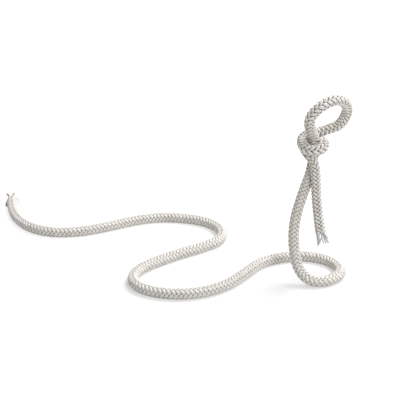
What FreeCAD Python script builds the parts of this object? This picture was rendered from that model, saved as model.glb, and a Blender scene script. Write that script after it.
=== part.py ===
import FreeCAD, Part
import math
import os

# A rope that stands up by itself. One braided rope lies on the ground in three open bays and a
# small loop, rises as a stem, and closes in a tilted noose that holds a neck. A bent steel rod
# inside the braid carries the load. Past the end of the rod the empty braid is soft: it goes
# round the stem as the knot, and its last length hangs in front of the stem as a tail.
#
# X runs along the holder, Y across it, Z up. All lengths are in millimetres.

SIZES = [
    ("rope_diameter", 11.0, "braid with the rod inside it"),
    ("core_diameter", 7.0, "steel rod"),
    ("core_fit", 0.15, "gap between the rod and the inside of the braid, on the radius"),
    ("core_inset", 12.0, "length of empty braid beyond the rod at the far end"),
    ("soft_diameter", 9.0, "empty braid of the knot and the tail"),
    ("rest_flat", 0.5, "depth by which the braid is pressed flat on the ground"),
    ("hinge_gap", 0.3, "gap round the rounded top of the tail"),
    ("strand_diameter", 2.0, "one loosened bunch of yarn at a cut end"),
    ("strand_gap", 0.6, "gap between two bunches where they leave a cut end"),
]

# The route of the rope over the ground, from the frayed far end to the foot of the stem.
GROUND_ROUTE = [
    (-177, 118), (-173, 92), (-164, 62), (-146, 35), (-119, 21), (-90, 23), (-62, 36), (-35, 53),
    (-7, 64), (23, 62), (50, 51), (66, 29), (65, 1), (45, -17), (20, -34), (-5, -55), (-23, -76),
    (-26, -101), (-11, -119), (16, -128), (44, -124), (69, -107), (87, -81), (104, -54),
    (130, -40), (158, -40), (179, -55), (185, -79), (171, -97), (152, -101),
]

# Up the stem, through the knot, and round the noose to the end of the rod.
STEM_ROUTE = [
    (139, -93, 13), (134, -86, 34), (134, -78, 59), (142, -70, 85), (151, -64, 108),
    (153, -62, 128), (152, -65, 144), (147, -74, 155), (145, -81, 168), (155, -82, 180),
    (170, -76, 185.5), (181.5, -67, 179.5), (184.5, -58.5, 166.5), (178, -55.5, 153),
    (169, -54, 149),
]

# The empty braid goes on in line with the rod's last run: behind the stem, round it and back
# behind it lower down, then by an elbow at the left to its front and down as the tail.
SOFT_ROUTE = [
    (169, -54, 149), (160, -52.5, 145), (150, -51, 143.6), (141, -56, 140.5), (139, -68, 136.5),
    (142, -80, 133.5), (152, -84.5, 133.5), (161.5, -80.5, 136.5), (164, -69, 138.5),
    (163, -56.5, 137.1), (154, -51, 132.6), (144, -52.5, 129.5), (141.5, -63, 127.5),
    (144.5, -74, 125.5), (153, -76, 118.5), (154.5, -74.5, 106), (155.5, -73.5, 88),
    (158, -73, 66), (162, -73, 42),
]

# Its two pieces meet in the middle of the run where the tail's hinge is: (name, first run, last run).
SOFT_PIECES = [
    ("knot_turn", 0, 14),
    ("tail_rope", 14, 17),
]

# The braid is one piece on the real rope. It is divided here, in the middle of a straight run,
# wherever it turns a new way: (name, first run, last run, whether it reaches the ground).
SLEEVES = [
    ("base_sleeve_far_bay", 0, 6, True),
    ("base_sleeve_long_run", 6, 9, True),
    ("base_sleeve_back_bend", 9, 13, True),
    ("base_sleeve_middle_run", 13, 15, True),
    ("base_sleeve_front_bend", 15, 19, True),
    ("base_sleeve_front_run", 19, 23, True),
    ("floor_loop_sleeve", 23, 29, True),
    ("stem_sleeve", 29, 35, True),
    ("noose_sleeve", 35, 43, False),
]

# Loosened bunches of yarn at a cut end, seated in a ring 60 degrees apart: the seat's angle,
# how far the bunch runs on, and how far it leans sideways and rises at its tip.
FAR_BUNCHES = [
    (150, 12, -7, 2), (90, 13, -3, 5), (30, 12, 5, 4), (330, 10, 7, 0), (210, 6, -9, -1),
    (270, 9, 0, -1),
]
TAIL_BUNCHES = [
    (180, 8, -1.5, 0), (240, 7, -2, -2), (300, 6, 2, -3), (0, 5, 4.5, 0), (60, 7, 3, 3),
    (120, 6.5, -2, 3),
]

MIDDLE = 0.5  # share of a run at which pieces meet
ARC_SHARE = 0.45  # share of the shorter run that an arc takes
GAP_STEP = 0.5  # spacing of the points on which the knot's gap to itself is measured
GAP_REACH = 1.5  # diameters along the rope that count as one place in that measure


def make_sheet(doc):
    sheet = doc.addObject("Spreadsheet::Sheet", "sizes")
    for row, (alias, value, note) in enumerate(SIZES, 1):
        sheet.set(f"A{row}", alias)
        sheet.set(f"B{row}", str(value))
        sheet.set(f"C{row}", note)
        sheet.setAlias(f"B{row}", alias)
    doc.recompute()
    return sheet


def vectors(points):
    return [FreeCAD.Vector(*point) for point in points]


def corner(points, index):
    """The start, middle and end of the arc that rounds one point of a route, and its radius."""
    here = points[index]
    back = points[index - 1] - here
    ahead = points[index + 1] - here
    tangent = ARC_SHARE * min(back.Length, ahead.Length)
    half_turn = (math.pi - back.getAngle(ahead)) / 2
    radius = tangent / math.tan(half_turn)
    back.normalize()
    ahead.normalize()
    inward = (back + ahead).normalize()
    middle = here + inward * (radius / math.cos(half_turn) - radius)
    return here + back * tangent, middle, here + ahead * tangent, radius


def run_point(points, run, share):
    return points[run] + (points[run + 1] - points[run]) * share


def path_edges(points, first_run, last_run, start, end):
    """Straight runs joined by tangent arcs, from a point on one run to a point on another."""
    edges = []
    place = start
    for index in range(first_run + 1, last_run + 1):
        enter, middle, leave, _ = corner(points, index)
        edges.append(Part.LineSegment(place, enter).toShape())
        edges.append(Part.Arc(enter, middle, leave).toShape())
        place = leave
    edges.append(Part.LineSegment(place, end).toShape())
    return edges


def print_radii(title, points):
    radii = [corner(points, index)[3] for index in range(1, len(points) - 1)]
    print(title, "least arc radius", round(min(radii), 1), "all", [round(r, 1) for r in radii])


def print_self_gap(title, edges, diameter):
    """The least gap between two stretches of one tube, measured on points along its path."""
    points = Part.Wire(edges).discretize(Distance=GAP_STEP)
    reach = round(GAP_REACH * diameter / GAP_STEP)
    apart = min(here.distanceToPoint(there)
                for index, here in enumerate(points) for there in points[index + reach:])
    print(title, "least gap to itself", round(apart - diameter, 2))


def print_length(title, edges, radius, piece):
    length = sum(edge.Length for edge in edges)
    print(title, "length", round(length, 1), "section times length",
          round(math.pi * radius ** 2 * length), "volume", round(piece.Shape.Volume))


def add_ring(doc, name, radius, place, direction):
    ring = doc.addObject("Part::Circle", name)
    ring.setExpression("Radius", radius)
    turn = FreeCAD.Rotation(FreeCAD.Vector(0, 0, 1), direction)
    ring.Placement = FreeCAD.Placement(place, turn)
    return ring


def add_tube(doc, name, edges, radius):
    """A full round bar of the given radius along a path."""
    path = doc.addObject("Part::Feature", name + "_path")
    path.Shape = Part.Wire(edges)
    start = edges[0].Vertexes[0].Point
    direction = edges[0].tangentAt(edges[0].FirstParameter)
    tube = doc.addObject("Part::Sweep", name)
    tube.Sections = [add_ring(doc, name + "_ring", radius, start, direction)]
    tube.Spine = (path, [f"Edge{number}" for number in range(1, len(edges) + 1)])
    tube.Solid = True
    tube.Frenet = False
    return tube


def add_cut(doc, name, base, tool):
    cut = doc.addObject("Part::Cut", name)
    cut.Base = base
    cut.Tool = tool
    return cut


def add_ball(doc, name, radius, place, up, half):
    ball = doc.addObject("Part::Sphere", name)
    ball.setExpression("Radius", radius)
    if half:
        ball.Angle1 = 0
    ball.Placement = FreeCAD.Placement(place, FreeCAD.Rotation(FreeCAD.Vector(0, 0, 1), up))
    return ball


def label(piece, name):
    piece.Label = name
    return piece


def make_ground(doc, route):
    """A block below the ground's surface, a rope's width past the route on each side."""
    reach = Part.makePolygon(route).BoundBox
    ground = doc.addObject("Part::Box", "ground")
    ground.setExpression("Length", f"{reach.XLength} + 2 * sizes.rope_diameter")
    ground.setExpression("Width", f"{reach.YLength} + 2 * sizes.rope_diameter")
    ground.setExpression("Height", "sizes.rope_diameter")
    ground.setExpression("Placement.Base.x", f"{reach.XMin} - sizes.rope_diameter")
    ground.setExpression("Placement.Base.y", f"{reach.YMin} - sizes.rope_diameter")
    ground.setExpression("Placement.Base.z", "-sizes.rope_diameter")
    return ground


def make_core(doc, edges):
    return label(add_tube(doc, "rod", edges, "sizes.core_diameter / 2"), "steel_core")


def make_sleeves(doc, route, core_start, ground):
    bore = "sizes.core_diameter / 2 + sizes.core_fit"
    sleeves = []
    for number, (name, first, last, grounded) in enumerate(SLEEVES):
        start = route[0] if first == 0 else run_point(route, first, MIDDLE)
        end = route[-1] if last == len(route) - 2 else run_point(route, last, MIDDLE)
        bore_start = core_start if first == 0 else start
        braid = add_tube(doc, f"braid_{number}", path_edges(route, first, last, start, end),
                         "sizes.rope_diameter / 2")
        hole = add_tube(doc, f"bore_{number}", path_edges(route, first, last, bore_start, end),
                        bore)
        sleeve = add_cut(doc, f"sleeve_{number}", braid, hole)
        if grounded:
            sleeve = add_cut(doc, f"resting_sleeve_{number}", sleeve, ground)
        sleeves.append(label(sleeve, name))
    return sleeves


def make_knot(doc, name, edges, hinge, up):
    """The soft turns round the stem, which end in a dish for the top of the tail."""
    turns = add_tube(doc, "turns", edges, "sizes.soft_diameter / 2")
    dish = add_ball(doc, "dish", "sizes.soft_diameter / 2 + sizes.hinge_gap", hinge, up, False)
    return label(add_cut(doc, "knot", turns, dish), name)


def make_tail(doc, name, edges, hinge, up):
    """The hanging length, with a rounded top that turns in the knot's dish."""
    tail = doc.addObject("Part::Fuse", "tail")
    tail.Base = add_tube(doc, "hanging", edges, "sizes.soft_diameter / 2")
    tail.Tool = add_ball(doc, "crown", "sizes.soft_diameter / 2", hinge, up, True)
    return label(tail, name)


def make_bunches(doc, name, end, along, across, bunches, ring):
    """Loosened bunches that leave a cut end square to it and lean apart."""
    along = FreeCAD.Vector(along).normalize()
    side = along.cross(across).normalize()
    lift = side.cross(along)
    group = []
    for number, (angle, reach, lean, rise) in enumerate(bunches):
        turn = math.radians(angle)
        start = end + (side * math.cos(turn) + lift * math.sin(turn)) * ring
        knee = start + along * (MIDDLE * reach)
        tip = start + along * reach + side * lean + lift * rise
        edges = path_edges([start, knee, tip], 0, 1, start, tip)
        group.append(add_tube(doc, f"{name}_{number}", edges, "sizes.strand_diameter / 2"))
    tuft = doc.addObject("Part::Compound", name)
    tuft.Links = group
    return label(tuft, name)


def check_and_export(doc, pieces):
    for item in doc.Objects:
        if "Invalid" in item.State or "Error" in item.State:
            raise RuntimeError(f"{item.Name} failed: {item.State}")
    for piece in pieces:
        if piece.Shape.isNull() or not piece.Shape.isValid() or not piece.Shape.Solids:
            raise RuntimeError(f"{piece.Label} has no valid solid")
    os.makedirs("parts", exist_ok=True)
    for piece in pieces:
        piece.Shape.exportStep(f"parts/{piece.Label}.step")
        box = piece.Shape.BoundBox
        print(piece.Label, "solids", len(piece.Shape.Solids), "volume", round(piece.Shape.Volume),
              "box", [round(value, 1) for value in
                      (box.XMin, box.YMin, box.ZMin, box.XMax, box.YMax, box.ZMax)])


def main():
    doc = FreeCAD.newDocument("rope_neck_holder")
    sizes = make_sheet(doc)
    lie = sizes.rope_diameter / 2 - sizes.rest_flat
    route = vectors([(x, y, lie) for x, y in GROUND_ROUTE] + STEM_ROUTE)
    soft = vectors(SOFT_ROUTE)
    print_radii("rope", route)
    print_radii("soft rope", soft)

    first_run = route[1] - route[0]
    core_start = route[0] + first_run * (sizes.core_inset / first_run.Length)
    core_edges = path_edges(route, 0, len(route) - 2, core_start, route[-1])
    (knot_name, knot_run, hinge_run), (tail_name, _, tail_run) = SOFT_PIECES
    hinge = run_point(soft, hinge_run, MIDDLE)
    up = soft[hinge_run] - soft[hinge_run + 1]
    knot_edges = path_edges(soft, knot_run, hinge_run, soft[0], hinge)
    tail_edges = path_edges(soft, hinge_run, tail_run, hinge, soft[-1])
    print_self_gap("knot", knot_edges, sizes.soft_diameter)

    ground = make_ground(doc, route)
    core = make_core(doc, core_edges)
    sleeves = make_sleeves(doc, route, core_start, ground)
    knot = make_knot(doc, knot_name, knot_edges, hinge, up)
    tail = make_tail(doc, tail_name, tail_edges, hinge, up)
    ring = sizes.strand_diameter + sizes.strand_gap
    far_tuft = make_bunches(doc, "far_end_strands", route[0], route[0] - route[1],
                            FreeCAD.Vector(0, 0, 1), FAR_BUNCHES, ring)
    tail_tuft = make_bunches(doc, "tail_end_strands", soft[-1], soft[-1] - soft[-2],
                             FreeCAD.Vector(0, 1, 0), TAIL_BUNCHES, ring)
    doc.recompute()
    print_length("rod", core_edges, sizes.core_diameter / 2, core)
    print_length("tail", tail_edges, sizes.soft_diameter / 2, tail)
    check_and_export(doc, [core] + sleeves + [knot, tail, far_tuft, tail_tuft])


main()
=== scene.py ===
import math
import random

import bmesh
import bpy
from mathutils import Matrix, Vector


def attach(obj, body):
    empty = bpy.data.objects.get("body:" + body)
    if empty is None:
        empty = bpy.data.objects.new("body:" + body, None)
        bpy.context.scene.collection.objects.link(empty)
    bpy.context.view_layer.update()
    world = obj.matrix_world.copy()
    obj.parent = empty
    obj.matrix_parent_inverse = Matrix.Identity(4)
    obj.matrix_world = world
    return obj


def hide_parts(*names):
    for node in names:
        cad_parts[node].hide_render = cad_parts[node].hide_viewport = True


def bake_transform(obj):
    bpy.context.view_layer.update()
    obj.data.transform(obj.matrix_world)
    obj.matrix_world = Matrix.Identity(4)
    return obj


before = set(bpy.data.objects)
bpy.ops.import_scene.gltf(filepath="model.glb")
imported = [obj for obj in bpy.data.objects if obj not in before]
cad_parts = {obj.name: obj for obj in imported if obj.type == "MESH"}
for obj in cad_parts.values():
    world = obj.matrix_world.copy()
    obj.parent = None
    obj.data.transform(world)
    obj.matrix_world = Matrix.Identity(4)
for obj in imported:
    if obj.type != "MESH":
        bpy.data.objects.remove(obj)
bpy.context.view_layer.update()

# A holder of one braided ivory rope, stiffened by a rod: it lies in open bays, rises as a stem
# and closes in a noose over a soft knot, from which the rope's end hangs as a tail. Every strand
# of the braid is a mesh: one chevron is wound on a straight rope along X, repeated, and bent
# along the rope's line. Both cut ends come apart into single threads.

MM = 0.001

# ---------------------------------------------------------------- the rope's sizes and routes

ROPE_DIAMETER = 11.0 * MM

# The rope's route over the ground, and the height of its middle there, in millimetres.
GROUND_ROUTE = [
    (-177, 118), (-173, 92), (-164, 62), (-146, 35), (-119, 21), (-90, 23), (-62, 36), (-35, 53),
    (-7, 64), (23, 62), (50, 51), (66, 29), (65, 1), (45, -17), (20, -34), (-5, -55), (-23, -76),
    (-26, -101), (-11, -119), (16, -128), (44, -124), (69, -107), (87, -81), (104, -54),
    (130, -40), (158, -40), (179, -55), (185, -79), (171, -97), (152, -101),
]
LIE = 5.0

# Up the stem, through the knot, and round the noose.
STEM_ROUTE = [
    (139, -93, 13), (134, -86, 34), (134, -78, 59), (142, -70, 85), (151, -64, 108),
    (153, -62, 128), (152, -65, 144), (147, -74, 155), (145, -81, 168), (155, -82, 180),
    (170, -76, 185.5), (181.5, -67, 179.5), (184.5, -58.5, 166.5), (178, -55.5, 153),
    (169, -54, 149),
]

# The soft rope goes on from the noose's last point: round the stem, then down as the tail.
SOFT_ROUTE = [
    (160, -52.5, 145), (150, -51, 143.6), (141.6, -57, 141), (140.2, -68, 138),
    (142.6, -79.5, 135.7), (152, -83.5, 135.6), (160, -79.5, 137.4), (161.8, -69, 138.9),
    (161.5, -57, 137.3), (154, -51.5, 133.4), (144.5, -53, 131.5), (142.5, -62, 130.3),
    (145.5, -73, 128.3), (153, -76, 120.5), (154.5, -74.5, 106), (155.5, -73.5, 88),
    (158, -73, 66), (162, -73, 42),
]

# How wide the soft braid is made at each of those points, in millimetres: the knot squeezes its
# turns broad, and the tail broadens towards its loose end.
SOFT_WIDTHS = [
    10, 10, 10.5, 10.5, 11, 11, 10.5, 10.5, 9.5, 9, 8.5, 8.5, 8.5, 9.2, 10, 10.3, 10.3, 11,
]

LINE_STEPS = 24  # places on the rope's line for each leg of the route
LINE_ORDER = 3  # of the curve: it touches each leg in its middle

# The braid's pieces in order along the rope, the leg of the route on which each one ends, and
# how it is woven there.
BRAIDED_PIECES = [
    ("braid_far_bay", "base_sleeve_far_bay", 6, "close"),
    ("braid_long_run", "base_sleeve_long_run", 9, "close"),
    ("braid_back_bend", "base_sleeve_back_bend", 13, "close"),
    ("braid_middle_run", "base_sleeve_middle_run", 15, "close"),
    ("braid_front_bend", "base_sleeve_front_bend", 19, "close"),
    ("braid_front_run", "base_sleeve_front_run", 23, "close"),
    ("braid_floor_loop", "floor_loop_sleeve", 29, "close"),
    ("braid_stem", "stem_sleeve", 35, "close"),
    ("braid_noose", "noose_sleeve", 44, "open"),
    ("braid_knot", "knot_turn", 57, "open"),
    ("braid_tail", "tail_rope", 61, "open"),
]
TAIL_UNDONE = 1  # chevrons at the tail's end that have come undone

# ---------------------------------------------------------------- the braid's sizes

CARRIERS = 6  # strands that wind each way
CHEVRON = 4.3 * MM  # along the rope from one chevron to the next
FLOAT = 4  # crossings in one over and under of a strand: over two, under two
LEVEL = 1.35  # height of a strand's wave, which is cut off at 1, so that it runs level there
STRAND_THICKNESS = 1.9 * MM

# Each weave by the width of its strands, and how far they rise over each other and dip under:
# close where the rod fills the braid, more open from the noose on.
WEAVES = {
    "close": (2.75 * MM, 0.55 * MM),
    "open": (2.4 * MM, 0.6 * MM),
}
SWELL = 0.25  # share by which a strand is thicker where it lies on top
SWELL_ACROSS = 0.6  # how much of that also makes it wider
STRAND_SIDES = 14
STRAND_STEPS = 10
WELD = 0.02 * MM  # joins each chevron's strands to the next one's

# ---------------------------------------------------------------- the loosened ends' sizes

# Loosened bunches at a cut end, by three points each: the start inside the braid, the knee and
# the tip, in millimetres from the middle of the cut to its side, up from it and on along the
# rope. Each row ends with its count of threads.
FAR_BUNCHES = [
    ((-1.5, 1.5, -3), (-1.4, 2.4, 4), (-5.8, 4.2, 7.5), 16),
    ((-2.8, -0.5, -3), (-1.8, 1.0, 4), (-5.0, 3.2, 7), 16),
    ((1.0, 1.5, -3), (0.0, 3.0, 3), (1.8, 4.6, 7.5), 16),
    ((2.8, 0.0, -3), (1.0, 2.0, 4), (2.4, 3.4, 7.5), 16),
    ((0.5, -2.8, -3), (0.5, -1.0, 3), (-1.0, 2.0, 4.5), 16),
    ((-3.4, 0.5, -7), (-7.6, 2.4, -4), (-7.0, -3.8, -12), 9),
    ((-3.4, -1.0, -8), (-6.4, 0.5, -7), (-5.6, -4.2, -11), 6),
    ((3.0, 0.5, -6), (8.5, 4.0, 1), (8.0, -4.0, -9), 4),
]
TAIL_BUNCHES = [
    ((-3.0, 0.0, -9), (-3.6, 0.0, 0), (-4.4, 0.0, 10), 16),
    ((-2.4, 1.6, -9), (-3.0, 1.6, 0), (-3.6, 1.0, 9.5), 16),
    ((-1.4, -2.6, -9), (-4.0, -3.2, -1), (-2.4, -2.0, 4), 8),
    ((0.4, -2.8, -9), (2.0, -3.4, -2), (-2.0, -2.2, 4.5), 8),
    ((2.2, -2.0, -9), (3.6, -2.8, -3), (6.2, -1.0, 3.5), 12),
    ((2.6, 0.5, -9), (3.4, 0.0, 2), (6.4, 0.0, 8.5), 10),
    ((1.8, 1.5, -9), (2.4, 1.0, 2), (4.2, 0.5, 9.5), 10),
    ((0.5, 2.4, -9), (0.5, 2.0, 2), (1.8, 1.0, 9.5), 8),
    ((-1.6, 2.4, -9), (-2.0, 2.6, 0), (-1.8, 1.5, 9), 7),
]

# Short bunches all round the far end, drawn in over the rod: their count, how far from the
# middle they start and end, and how far along the rope their three points are, in millimetres.
GATHERED = 8
GATHER_START = 3.4
GATHER_TIP = 0.9
GATHER_ALONG = (-2.0, 2.2, 3.2)

FULL_BUNCH = 16  # threads
BUNCH_RADIUS = 1.0 * MM  # of a full bunch
BUNCH_STEPS = 8
THREAD_RADIUS = 0.3 * MM
THREAD_GAUGES = (0.85, 1.1)  # the thinnest and the thickest thread, as shares of that
THREAD_REACHES = (0.88, 1.02)  # the shortest and the longest, as shares of their bunch
THREAD_SIDES = 6
THREAD_TIP = 0.75  # share of its thickness that a thread keeps at its tip
THREAD_FAN = 0.5 * MM  # how far the threads' tips stray
GOLDEN_ANGLE = math.radians(137.5)  # from one thread to the next round their bunch
FAR_SEED = 11
TAIL_SEED = 23

# ---------------------------------------------------------------- sizes of the yarn's patterns

FILAMENT = 0.3  # millimetres, as the strands' "across" is: coarser than real, so that it shows
MOTTLE = 9 * MM
FLECK = 0.7 * MM
LOOSE_FLECK = 1.5 * MM
STEEL_GRAIN = 1.0 * MM
LIGHT_DEPTH = 1.0 * MM  # how far light gets into loose yarn

# ---------------------------------------------------------------- camera, lamps and floor

CAMERA_PLACE = (41.51 * MM, -1115.81 * MM, 502.43 * MM)
CAMERA_TILT = 22  # degrees below level
CAMERA_LENS = 102.96  # millimetres, as its sensor
CAMERA_SENSOR = 36.0
CAMERA_SIGHT = 20.0  # metres

# Each lamp's name, its place and the place that it shines at, its width, in metres, and its
# watts.
LAMPS = [
    ("key", (0.8, 0.55, 1.5), (0.05, -0.05, 0.05), 1.1, 25),
    ("side", (1.8, -0.4, 0.7), (0.0, -0.05, 0.05), 1.2, 3),
    ("fill", (0.7, -1.5, 1.0), (0.0, 0.0, 0.05), 0.8, 10),
]
ROOM_LIGHT = 0.3
WHITE = (1, 1, 1, 1)

# Where the camera sees the floor, it also glows, and so paints light over the holder's shadow:
# little round this place, so that the shadow shows there, and up to plain white further off, in
# metres.
FLOOR_REACH = 6.0
FLOOR_DROP = 0.02 * MM  # so that it doesn't fall together with the rope's flat underside
GLOW_MIDDLE = (0.1, -0.15, 0)
GLOW_FADE = {"From Min": 0.15, "From Max": 0.6, "To Min": 0.45, "To Max": 1.0}


def add_object(name, data):
    added = bpy.data.objects.new(name, data)
    bpy.context.collection.objects.link(added)
    return added


def made_mesh(bm, name):
    mesh = bpy.data.meshes.new(name)
    bm.to_mesh(mesh)
    bm.free()
    return mesh


def srgb(code):
    """A hex colour as linear red, green, blue and alpha."""
    parts = [int(code[place:place + 2], 16) / 255 for place in (1, 3, 5)]
    linear = [part / 12.92 if part <= 0.04045 else ((part + 0.055) / 1.055) ** 2.4
              for part in parts]
    return (*linear, 1.0)


def add_node(tree, kind, settings=None, links=None, stops=()):
    """Adds a node. Its settings are properties and values of inputs, its links are sockets for
    inputs, by name or number, and its stops are places and hex colours along a ramp."""
    node = tree.nodes.new(kind)
    for name, value in (settings or {}).items():
        if isinstance(name, int) or name in node.inputs:
            node.inputs[name].default_value = value
        else:
            setattr(node, name, value)
    for name, socket in (links or {}).items():
        tree.links.new(socket, node.inputs[name])
    if stops:
        ramp = node.color_ramp.elements
        for end, (place, code) in zip(ramp, (stops[0], stops[-1])):
            end.position = place
            end.color = srgb(code)
        for place, code in stops[1:-1]:
            ramp.new(place).color = srgb(code)
    return node


def new_material(name):
    material = bpy.data.materials.new(name)
    material.use_nodes = True
    material.node_tree.nodes.clear()
    return material, material.node_tree


# ---------------------------------------------------------------- camera and light

def make_camera():
    data = bpy.data.cameras.new("camera")
    data.lens = CAMERA_LENS
    data.sensor_width = CAMERA_SENSOR
    data.clip_end = CAMERA_SIGHT
    camera = add_object("camera", data)
    camera.location = CAMERA_PLACE
    camera.rotation_euler = (math.radians(90 - CAMERA_TILT), 0, 0)
    bpy.context.scene.camera = camera


def make_lamp(name, place, target, width, power):
    data = bpy.data.lights.new(name, "AREA")
    data.shape = "DISK"
    data.size = width
    data.energy = power
    lamp = add_object(name, data)
    lamp.location = place
    look = Vector(target) - Vector(place)
    lamp.rotation_euler = look.to_track_quat("-Z", "Y").to_euler()


def direct_view(tree):
    """1 where the camera sees a surface directly or by a glossy or transmitted ray, else 0."""
    path = add_node(tree, "ShaderNodeLightPath")
    seen = path.outputs["Is Camera Ray"]
    for ray in ("Is Glossy Ray", "Is Transmission Ray"):
        seen = add_node(tree, "ShaderNodeMath", {"operation": "MAXIMUM"},
                        {0: seen, 1: path.outputs[ray]}).outputs[0]
    return seen


def make_world():
    """A dim white room, which the camera sees as plain white."""
    world = bpy.data.worlds.new("studio")
    world.use_nodes = True
    tree = world.node_tree
    tree.nodes.clear()
    room = add_node(tree, "ShaderNodeBackground", {"Color": WHITE, "Strength": ROOM_LIGHT})
    backdrop = add_node(tree, "ShaderNodeBackground", {"Color": WHITE, "Strength": 1.0})
    mix = add_node(tree, "ShaderNodeMixShader",
                   links={"Fac": direct_view(tree), 1: room.outputs[0], 2: backdrop.outputs[0]})
    add_node(tree, "ShaderNodeOutputWorld", links={"Surface": mix.outputs[0]})
    bpy.context.scene.world = world


def make_floor():
    """A pale sheet of paper, which reads as white where nothing shades it. Its glow, which the
    camera alone sees, paints light over the holder's shadow further from the holder.
    """
    bm = bmesh.new()
    bmesh.ops.create_grid(bm, x_segments=1, y_segments=1, size=FLOOR_REACH)
    floor = add_object("floor", made_mesh(bm, "floor"))
    floor.location.z = -FLOOR_DROP
    material, tree = new_material("white_paper")
    paper = add_node(tree, "ShaderNodeBsdfDiffuse", {"Color": srgb("#D0D0D0")})
    place = add_node(tree, "ShaderNodeTexCoord")
    away = add_node(tree, "ShaderNodeVectorMath", {"operation": "DISTANCE", 1: GLOW_MIDDLE},
                    {0: place.outputs["Object"]})
    fade = add_node(tree, "ShaderNodeMapRange", GLOW_FADE, {"Value": away.outputs["Value"]})
    glow = add_node(tree, "ShaderNodeEmission", {"Color": WHITE}, {"Strength": fade.outputs[0]})
    lit = add_node(tree, "ShaderNodeAddShader", links={0: paper.outputs[0], 1: glow.outputs[0]})
    mix = add_node(tree, "ShaderNodeMixShader",
                   links={"Fac": direct_view(tree), 1: paper.outputs[0], 2: lit.outputs[0]})
    add_node(tree, "ShaderNodeOutputMaterial", links={"Surface": mix.outputs[0]})
    floor.data.materials.append(material)


# ---------------------------------------------------------------- materials

def braided_yarn():
    """Ivory synthetic yarn, braided: satin strands of fine filaments, with shade painted dark
    between them.

    It reads two values that each strand carries: "across", millimetres from the strand's middle
    to its side, and "depth", from 0 inside the braid to 1 on top."""
    material, tree = new_material("braided_ivory_yarn")
    across = add_node(tree, "ShaderNodeAttribute", {"attribute_name": "across"})
    depth = add_node(tree, "ShaderNodeAttribute", {"attribute_name": "depth"})
    place = add_node(tree, "ShaderNodeTexCoord").outputs["Object"]
    turns = add_node(tree, "ShaderNodeMath", {"operation": "MULTIPLY", 1: 2 * math.pi / FILAMENT},
                     {0: across.outputs["Fac"]})
    filaments = add_node(tree, "ShaderNodeMath", {"operation": "SINE"}, {0: turns.outputs[0]})
    mottle = add_node(tree, "ShaderNodeTexNoise", {"Scale": 1 / MOTTLE, "Detail": 3.0},
                      {"Vector": place})
    fleck = add_node(tree, "ShaderNodeTexNoise", {"Scale": 1 / FLECK, "Detail": 2.0},
                     {"Vector": place})
    # Painted shade: dark where a strand dips under the others, in the gaps, and light where it
    # lies on top.
    shade = add_node(tree, "ShaderNodeValToRGB", links={"Fac": depth.outputs["Fac"]},
                     stops=((0.5, "#2A2521"), (0.7, "#9A928A"), (0.88, "#EFEDE9")))
    tint = add_node(tree, "ShaderNodeValToRGB", links={"Fac": mottle.outputs["Fac"]},
                    stops=((0.3, "#F2EEE8"), (0.7, "#FFFFFF")))
    colour = add_node(tree, "ShaderNodeMix",
                      {"data_type": "RGBA", "blend_type": "MULTIPLY", 0: 1.0},
                      {6: shade.outputs["Color"], 7: tint.outputs["Color"]})
    ridges = add_node(tree, "ShaderNodeBump", {"Strength": 0.25, "Distance": 0.05 * MM},
                      {"Height": filaments.outputs[0]})
    fuzz = add_node(tree, "ShaderNodeBump", {"Strength": 0.2, "Distance": 0.08 * MM},
                    {"Height": fleck.outputs["Fac"], "Normal": ridges.outputs["Normal"]})
    shader = add_node(tree, "ShaderNodeBsdfPrincipled",
                      {"Roughness": 0.32, "IOR": 1.5, "Specular IOR Level": 0.7,
                       "Sheen Weight": 0.1, "Sheen Roughness": 0.4},
                      {"Base Color": colour.outputs[2], "Normal": fuzz.outputs["Normal"]})
    add_node(tree, "ShaderNodeOutputMaterial", links={"Surface": shader.outputs[0]})
    return material


def loose_yarn(name, dark, light, let_through):
    """The same yarn out of the braid: dull and fuzzy. It lets light through where it is fluffy,
    and a copy in darker colours paints shade."""
    material, tree = new_material(name)
    place = add_node(tree, "ShaderNodeTexCoord").outputs["Object"]
    fleck = add_node(tree, "ShaderNodeTexNoise", {"Scale": 1 / LOOSE_FLECK, "Detail": 3.0},
                     {"Vector": place})
    shade = add_node(tree, "ShaderNodeValToRGB", links={"Fac": fleck.outputs["Fac"]},
                     stops=((0.0, dark), (1.0, light)))
    fuzz = add_node(tree, "ShaderNodeBump", {"Strength": 0.3, "Distance": 0.08 * MM},
                    {"Height": fleck.outputs["Fac"]})
    shader = add_node(tree, "ShaderNodeBsdfPrincipled",
                      {"Roughness": 0.6, "IOR": 1.5, "Sheen Weight": 0.3,
                       "Sheen Roughness": 0.5, "Subsurface Weight": let_through,
                       "Subsurface Radius": (1.0, 1.0, 1.0), "Subsurface Scale": LIGHT_DEPTH},
                      {"Base Color": shade.outputs["Color"], "Normal": fuzz.outputs["Normal"]})
    add_node(tree, "ShaderNodeOutputMaterial", links={"Surface": shader.outputs[0]})
    return material


def drawn_steel():
    """Bright drawn steel, slightly uneven in its shine. The braid hides the whole rod."""
    material, tree = new_material("drawn_steel")
    place = add_node(tree, "ShaderNodeTexCoord").outputs["Object"]
    grain = add_node(tree, "ShaderNodeTexNoise", {"Scale": 1 / STEEL_GRAIN, "Detail": 4.0},
                     {"Vector": place})
    shine = add_node(tree, "ShaderNodeMapRange", {"To Min": 0.28, "To Max": 0.42},
                     {"Value": grain.outputs["Fac"]})
    bump = add_node(tree, "ShaderNodeBump", {"Strength": 0.1, "Distance": 0.02 * MM},
                    {"Height": grain.outputs["Fac"]})
    shader = add_node(tree, "ShaderNodeBsdfPrincipled",
                      {"Base Color": srgb("#B9BBBE"), "Metallic": 1.0},
                      {"Roughness": shine.outputs[0], "Normal": bump.outputs["Normal"]})
    add_node(tree, "ShaderNodeOutputMaterial", links={"Surface": shader.outputs[0]})
    return material


# ---------------------------------------------------------------- the rope's line

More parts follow.
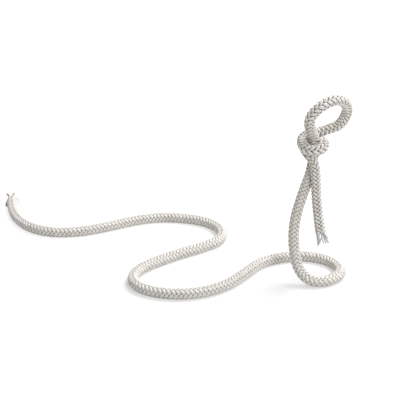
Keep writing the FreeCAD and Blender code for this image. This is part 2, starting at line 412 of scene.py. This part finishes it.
def make_rope_line():
    """The whole rope as one smooth line, thinner where it holds no rod. With it come the route's
    points, and the line's own places, close together."""
    stiff = [(x, y, LIE) for x, y in GROUND_ROUTE] + STEM_ROUTE
    route = stiff + SOFT_ROUTE
    widths = [ROPE_DIAMETER / MM] * len(stiff) + SOFT_WIDTHS
    data = bpy.data.curves.new("rope_line", "CURVE")
    data.dimensions = "3D"
    data.twist_mode = "MINIMUM"
    data.resolution_u = LINE_STEPS
    data.use_radius = True
    spline = data.splines.new("NURBS")
    spline.points.add(len(route) - 1)
    for point, (x, y, z), width in zip(spline.points, route, widths):
        point.co = (x * MM, y * MM, z * MM, 1)
        point.radius = width * MM / ROPE_DIAMETER
    spline.order_u = LINE_ORDER
    spline.use_endpoint_u = True
    line = add_object("rope_line", data)
    mesh = bpy.data.meshes.new_from_object(line)
    track = [vertex.co.copy() for vertex in mesh.vertices]
    bpy.data.meshes.remove(mesh)
    return line, [Vector(point) * MM for point in route], track


def lengths_along(track):
    """How far along the rope each place of its line is."""
    along = [0.0]
    for here, there in zip(track, track[1:]):
        along.append(along[-1] + (there - here).length)
    return along


def number_nearest(track, point):
    """The number of the line's place nearest to a point."""
    return min(range(len(track)), key=lambda number: (track[number] - point).length)


# ---------------------------------------------------------------- yarn as meshes

def new_ring(bm, sides, radius):
    """A ring of corners about Z, and its edges."""
    ring = bmesh.ops.create_circle(bm, segments=sides, radius=radius)["verts"]
    return ring, list(dict.fromkeys(edge for vert in ring for edge in vert.link_edges))


def extrude_ring(bm, edges):
    """Extrudes a ring of edges in its place, and gives the new ring's corners and edges."""
    grown = bmesh.ops.extrude_edge_only(bm, edges=edges)["geom"]
    return ([item for item in grown if isinstance(item, bmesh.types.BMVert)],
            [item for item in grown if isinstance(item, bmesh.types.BMEdge)])


def finish_yarn(bm):
    """Presses yarn flat where it lies on the ground, and smooths all but its cut ends."""
    for vert in bm.verts:
        vert.co.z = max(vert.co.z, 0.0)
    for face in bm.faces:
        face.smooth = len(face.verts) == 4
    bmesh.ops.recalc_face_normals(bm, faces=bm.faces)


# ---------------------------------------------------------------- the braid

def strand_height(crossing):
    """How high a strand lies at a crossing, from -1 (under) to 1 (over). It is over at the first
    two, 0 and 1, under at the next two, and so on."""
    wave = LEVEL * math.cos(2 * math.pi * (crossing - 0.5) / FLOAT)
    return max(-1.0, min(1.0, wave))


def add_strand(bm, layers, number, hand, step, width, wave):
    """One strand over one chevron. It is made straight along X from a ring 1 across, stretched
    to its width and thickness, then swelled, turned to its lean and wrapped round the rope. Its
    hand, 1 or -1, is the way that it winds."""
    across_layer, depth_layer = layers
    middle = ROPE_DIAMETER / 2 - STRAND_THICKNESS / 2 - wave
    row = 2 * math.pi * middle / CARRIERS
    lean = math.atan2(row, step)
    reach = math.hypot(row, step)
    turn = Matrix.Rotation(hand * lean, 3, "Z")
    ring, edges = new_ring(bm, STRAND_SIDES, 0.5)
    for vert in ring:
        side = vert.co.x * width
        vert[across_layer] = side / MM
        vert.co = Vector((0, side, vert.co.y * STRAND_THICKNESS))
    strand = list(ring)
    for _ in range(STRAND_STEPS):
        ring, edges = extrude_ring(bm, edges)
        bmesh.ops.translate(bm, vec=(reach / STRAND_STEPS, 0, 0), verts=ring)
        strand += ring
    for vert in strand:
        along = vert.co.x * math.cos(lean)
        rise = hand * strand_height(2 * number + hand * 2 * along / step)
        vert.co.y *= 1 + SWELL * SWELL_ACROSS * rise
        vert.co.z *= 1 + SWELL * rise
        turned = turn @ vert.co
        height = turned.z + rise * wave
        vert[depth_layer] = 0.5 + height / (STRAND_THICKNESS + 2 * wave)
        angle = (turned.y + number * row) / middle
        radius = middle + height
        vert.co = (turned.x, radius * math.cos(angle), radius * math.sin(angle))


def make_chevron(step, width, wave):
    """All strands over one chevron of the braid, ready to be repeated along X."""
    bm = bmesh.new()
    layers = (bm.verts.layers.float.new("across"), bm.verts.layers.float.new("depth"))
    for hand in (1, -1):
        for number in range(CARRIERS):
            add_strand(bm, layers, number, hand, step, width, wave)
    bmesh.ops.recalc_face_normals(bm, faces=bm.faces)
    return made_mesh(bm, "chevron")


def make_braid(name, chevron, step, first, last, line, material):
    """Repeats the chevron from one count along the rope to another, and bends it to the line."""
    piece = add_object(name, chevron.copy())
    piece.data.transform(Matrix.Translation((first * step, 0, 0)))
    array = piece.modifiers.new("repeat", "ARRAY")
    array.count = last - first
    array.use_relative_offset = False
    array.use_constant_offset = True
    array.constant_offset_displace = (step, 0, 0)
    array.use_merge_vertices = True
    array.merge_threshold = WELD
    bend = piece.modifiers.new("bend", "CURVE")
    bend.object = line
    bend.deform_axis = "POS_X"
    bpy.context.view_layer.update()
    mesh = bpy.data.meshes.new_from_object(
        piece.evaluated_get(bpy.context.evaluated_depsgraph_get()))
    piece.modifiers.clear()
    piece.data = mesh
    mesh.name = name

    bm = bmesh.new()
    bm.from_mesh(mesh)
    cut = [edge for edge in bm.edges if edge.is_boundary]
    bmesh.ops.holes_fill(bm, edges=cut, sides=0)
    finish_yarn(bm)
    bm.to_mesh(mesh)
    bm.free()
    mesh.materials.clear()
    mesh.materials.append(material)
    return piece


# ---------------------------------------------------------------- the loosened ends

def add_thread(bm, path, radius):
    """A thin round thread along a list of places, which thins towards its tip."""
    heading = (path[1] - path[0]).normalized()
    turn = Vector((0, 0, 1)).rotation_difference(heading).to_matrix()
    ring, edges = new_ring(bm, THREAD_SIDES, radius)
    for vert in ring:
        vert.co = path[0] + turn @ vert.co
    bmesh.ops.holes_fill(bm, edges=edges, sides=0)
    narrow = THREAD_TIP ** (1 / (len(path) - 1))
    for here, there in zip(path, path[1:]):
        turn = heading.rotation_difference((there - here).normalized()).to_matrix()
        heading = (there - here).normalized()
        ring, edges = extrude_ring(bm, edges)
        for vert in ring:
            vert.co = there + turn @ (vert.co - here) * narrow
    bmesh.ops.holes_fill(bm, edges=edges, sides=0)


def add_bunch(bm, start, knee, tip, threads, rng):
    """Threads that leave the braid side by side, bend at the knee and stray at their tips."""
    turn = Vector((0, 0, 1)).rotation_difference((knee - start).normalized()).to_matrix()
    for number in range(threads):
        angle = number * GOLDEN_ANGLE
        spread = BUNCH_RADIUS * math.sqrt((number + 0.5) / FULL_BUNCH)
        offset = turn @ Vector((math.cos(angle), math.sin(angle), 0)) * spread
        stray = Vector([rng.uniform(-1, 1) for _ in range(3)]) * THREAD_FAN
        end = start + (tip - start) * rng.uniform(*THREAD_REACHES) + offset + stray
        path = []
        for step in range(BUNCH_STEPS + 1):
            share = step / BUNCH_STEPS
            path.append((start + offset) * (1 - share) ** 2
                        + (knee + offset) * 2 * share * (1 - share) + end * share ** 2)
        add_thread(bm, path, THREAD_RADIUS * rng.uniform(*THREAD_GAUGES))


def gathered_bunches():
    """Rows like those of the tables, for the bunches that close the far end over the rod."""
    rows = []
    for number in range(GATHERED):
        angle = 2 * math.pi * number / GATHERED
        points = [(math.cos(angle) * away, math.sin(angle) * away, along) for away, along
                  in zip((GATHER_START, GATHER_START, GATHER_TIP), GATHER_ALONG)]
        rows.append((*points, FULL_BUNCH))
    return rows


def make_loose_end(name, end, heading, bunches, seed, material):
    """The bunches at one cut end, where the rope points along its heading."""
    rng = random.Random(seed)
    heading = heading.normalized()
    side = Vector((1, 0, 0))
    side = (side - heading * side.dot(heading)).normalized()
    lift = side.cross(heading).normalized()
    bm = bmesh.new()
    for *points, threads in bunches:
        start, knee, tip = [end + (side * x + lift * y + heading * z) * MM for x, y, z in points]
        add_bunch(bm, start, knee, tip, threads, rng)
    finish_yarn(bm)
    piece = add_object(name, made_mesh(bm, name))
    piece.data.materials.append(material)
    return piece


# ---------------------------------------------------------------- the whole holder

make_camera()
make_world()
make_floor()
for lamp in LAMPS:
    make_lamp(*lamp)

yarn = braided_yarn()
# The far end's yarn is the same yarn, painted darker as shade.
shaded_yarn = loose_yarn("shaded_ivory_yarn", "#979087", "#DDD8D1", 0.0)
fluffy = loose_yarn("fluffy_ivory_yarn", "#EAE8E5", "#FFFFFF", 0.6)
steel = drawn_steel()

line, route, track = make_rope_line()
along = lengths_along(track)
chevron_count = round(along[-1] / CHEVRON)
step = along[-1] / chevron_count
chevrons = {weave: make_chevron(step, *sizes) for weave, sizes in WEAVES.items()}

# Each piece starts on the chevron where the one before it ends, and ends in the middle of its
# leg. The tail's is the last leg, and its braid has come undone just before the rope's end.
last = 0
for name, node, leg, weave in BRAIDED_PIECES:
    first = last
    if leg == len(route) - 2:
        last = chevron_count - TAIL_UNDONE
    else:
        middle = (route[leg] + route[leg + 1]) / 2
        last = round(along[number_nearest(track, middle)] / step)
    piece = make_braid(name, chevrons[weave], step, first, last, line, yarn)
    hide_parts(node)
    if node != "tail_rope":
        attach(piece, "root")

# The last piece is the tail.
tail = piece
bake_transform(tail)

far_end = make_loose_end("far_end_yarn", track[0], track[0] - track[1],
                         FAR_BUNCHES + gathered_bunches(), FAR_SEED, shaded_yarn)
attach(far_end, "root")
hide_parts("far_end_strands")

tail_end = make_loose_end("tail_end_yarn", track[-1], track[-1] - track[-2],
                          TAIL_BUNCHES, TAIL_SEED, fluffy)
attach(tail_end, "tail")
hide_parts("tail_end_strands")

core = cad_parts["steel_core"]
core.data.materials.clear()
core.data.materials.append(steel)

bpy.data.objects.remove(line)
bpy.context.scene.view_settings.view_transform = "Standard"
